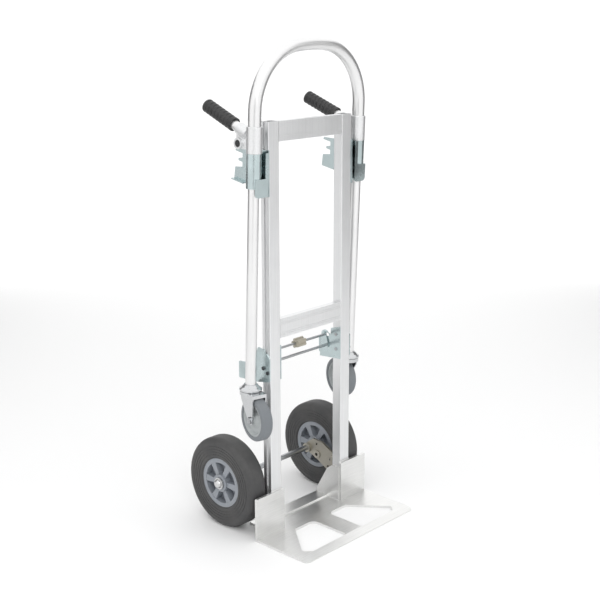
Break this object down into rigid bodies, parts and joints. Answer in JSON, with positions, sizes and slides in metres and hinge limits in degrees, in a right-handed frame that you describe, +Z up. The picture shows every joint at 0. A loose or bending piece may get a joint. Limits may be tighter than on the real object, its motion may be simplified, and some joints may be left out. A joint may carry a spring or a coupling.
{
  "type": "convertible hand truck",
  "caption": "Convertible hand truck: ladder frame with nose plate and wheels, and a loop handle with grips and casters that folds and slides into a platform cart.",
  "frame": {"origin": "underside of the nose plate, on the centre line and in line with the front faces of the two upright wings", "axes": "+Z up along the rails, -Y out along the nose plate, +X to the right seen from the nose"},
  "size_m": [0.4806, 0.4655, 1.351],
  "materials": {
    "plate_aluminium": "satin, brushed along the length",
    "rail_aluminium": "satin extrusion with a lengthwise grain",
    "tube_aluminium": "bright drawn tube",
    "cast_aluminium": "cast, lightly blasted",
    "cast_bracket": "as cast, warm grey",
    "blue_zinc": "blue passivated zinc plate",
    "bright_zinc": "bright zinc plate",
    "steel": "bright steel",
    "dark_steel": "dark oxide",
    "tyre_rubber": "matt moulded rubber",
    "hub_plastic": "moulded, grey-blue",
    "cap_metal": "bright pressed cap",
    "grip_rubber": "matt moulded rubber",
    "bush_nylon": "black nylon",
    "knob_plastic": "moulded, beige",
    "caster_rubber": "non-marking grey tread",
    "caster_plastic": "moulded, light grey"
  },
  "bodies": {
    "frame": {"nose_plate": "plate_aluminium", "rear_strip": "plate_aluminium", "wing_left": "plate_aluminium", "wing_right": "plate_aluminium", "gusset_left": "plate_aluminium", "gusset_right": "plate_aluminium", "rail_left": "rail_aluminium", "rail_right": "rail_aluminium", "top_crossbar": "rail_aluminium", "middle_crossbar": "rail_aluminium", "crossbar_cleats": "rail_aluminium", "frame_rivets": "steel", "axle_bracket_left": "cast_bracket", "axle_bracket_right": "cast_bracket", "bracket_bolts": "dark_steel", "axle": "steel", "axle_spacers": "steel", "axle_caps": "cap_metal", "hinge_plate_left": "blue_zinc", "hinge_plate_right": "blue_zinc", "fold_pins": "steel", "latch_keeper_left": "blue_zinc", "latch_keeper_right": "blue_zinc", "tie_rod": "steel", "lower_bracket_left": "blue_zinc", "lower_bracket_right": "blue_zinc", "foot_screws": "dark_steel"},
    "wheel_left": {"tyre_left": "tyre_rubber", "wheel_core_left": "hub_plastic", "wheel_bearings_left": "steel"},
    "wheel_right": {"tyre_right": "tyre_rubber", "wheel_core_right": "hub_plastic", "wheel_bearings_right": "steel"},
    "swivel": {"swivel_bracket_left": "blue_zinc", "swivel_bracket_right": "blue_zinc", "guide_bush_left": "bush_nylon", "guide_bush_right": "bush_nylon"},
    "handle": {"loop_tube": "tube_aluminium", "leg_tube_left": "tube_aluminium", "leg_tube_right": "tube_aluminium", "handle_casting_left": "cast_aluminium", "handle_casting_right": "cast_aluminium", "grip_tube_left": "tube_aluminium", "grip_tube_right": "tube_aluminium", "grip_left": "grip_rubber", "grip_right": "grip_rubber", "boss_plugs": "bush_nylon", "caster_stem_left": "bright_zinc", "caster_stem_right": "bright_zinc"},
    "latch": {"latch_links": "blue_zinc", "latch_rod": "steel", "latch_knob": "knob_plastic"},
    "caster_left": {"caster_fork_left": "bright_zinc", "caster_bolt_left": "steel"},
    "caster_right": {"caster_fork_right": "bright_zinc", "caster_bolt_right": "steel"},
    "caster_wheel_left": {"caster_tread_left": "caster_rubber", "caster_core_left": "caster_plastic"},
    "caster_wheel_right": {"caster_tread_right": "caster_rubber", "caster_core_right": "caster_plastic"}
  },
  "joints": [
    {"name": "wheel_left_spin", "type": "hinge", "parent": "frame", "child": "wheel_left", "pos_m": [-0.1965, 0.15, 0.1305], "axis": [1, 0, 0], "continuous": true},
    {"name": "wheel_right_spin", "type": "hinge", "parent": "frame", "child": "wheel_right", "pos_m": [0.1965, 0.15, 0.1305], "axis": [1, 0, 0], "continuous": true},
    {"name": "handle_fold", "type": "hinge", "parent": "frame", "child": "swivel", "pos_m": [0, 0.023, 0.966], "axis": [1, 0, 0], "range_deg": [0, 87.8]},
    {"name": "handle_slide", "type": "slide", "parent": "swivel", "child": "handle", "axis": [0, -0.0389, 0.9992], "range_m": [0, 0.415]},
    {"name": "latch_swing", "type": "hinge", "parent": "frame", "child": "latch", "pos_m": [0, 0.057, 0.479], "axis": [1, 0, 0], "range_deg": [0, 20]},
    {"name": "caster_left_swivel", "type": "hinge", "parent": "handle", "child": "caster_left", "pos_m": [-0.2025, 0.04614, 0.3997], "axis": [0, -0.0389, 0.9992], "range_deg": [-165, 11]},
    {"name": "caster_right_swivel", "type": "hinge", "parent": "handle", "child": "caster_right", "pos_m": [0.2025, 0.04614, 0.3997], "axis": [0, -0.0389, 0.9992], "range_deg": [-165, 17]},
    {"name": "caster_wheel_left_spin", "type": "hinge", "parent": "caster_left", "child": "caster_wheel_left", "pos_m": [-0.21015, 0.01484, 0.35194], "axis": [0.9744, -0.2248, -0.0088], "continuous": true},
    {"name": "caster_wheel_right_spin", "type": "hinge", "parent": "caster_right", "child": "caster_wheel_right", "pos_m": [0.21044, 0.08098, 0.35452], "axis": [-0.9724, 0.2333, 0.0091], "continuous": true}
  ]
}
